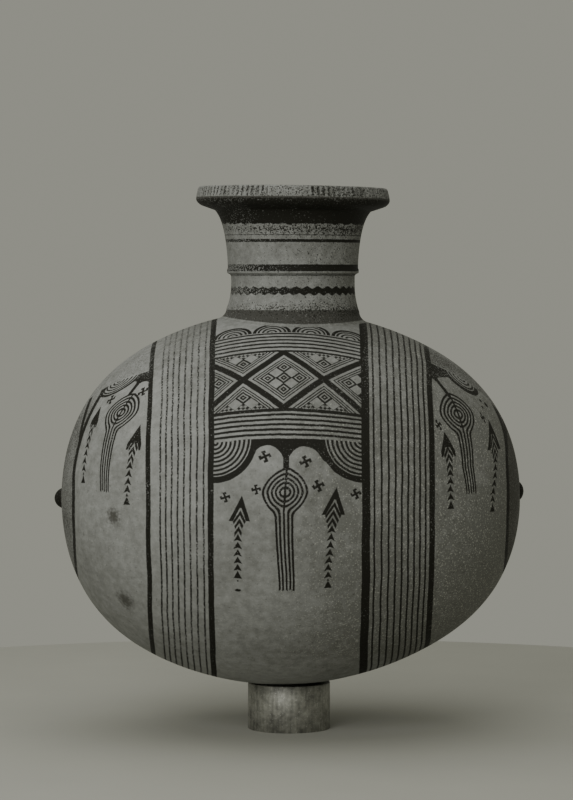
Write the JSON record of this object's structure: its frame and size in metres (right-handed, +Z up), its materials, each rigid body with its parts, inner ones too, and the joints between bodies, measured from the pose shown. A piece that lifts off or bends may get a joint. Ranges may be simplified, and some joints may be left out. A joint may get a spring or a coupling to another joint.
{
  "type": "pottery jug",
  "caption": "Barrel-shaped jug with knobbed ends, a ridged neck, an out-turned rim and a strap handle, standing on a short metal ring.",
  "frame": {"origin": "on the surface the ring stands on, under the middle of the whole object's box", "axes": "+Z up, +X to the right along the barrel, -Y the painted front, +Y the side with the handle"},
  "size_m": [0.3744, 0.298, 0.4325],
  "materials": {
    "painted_clay": "matt buff fired clay with matt near-black painted bands, lattice and motifs, worn and speckled",
    "stand_metal": "dull grey weathered metal tube with stains and a soft vertical sheen"
  },
  "bodies": {
    "root": {"jug": "painted_clay", "stand_ring": "stand_metal"}
  },
  "joints": []
}
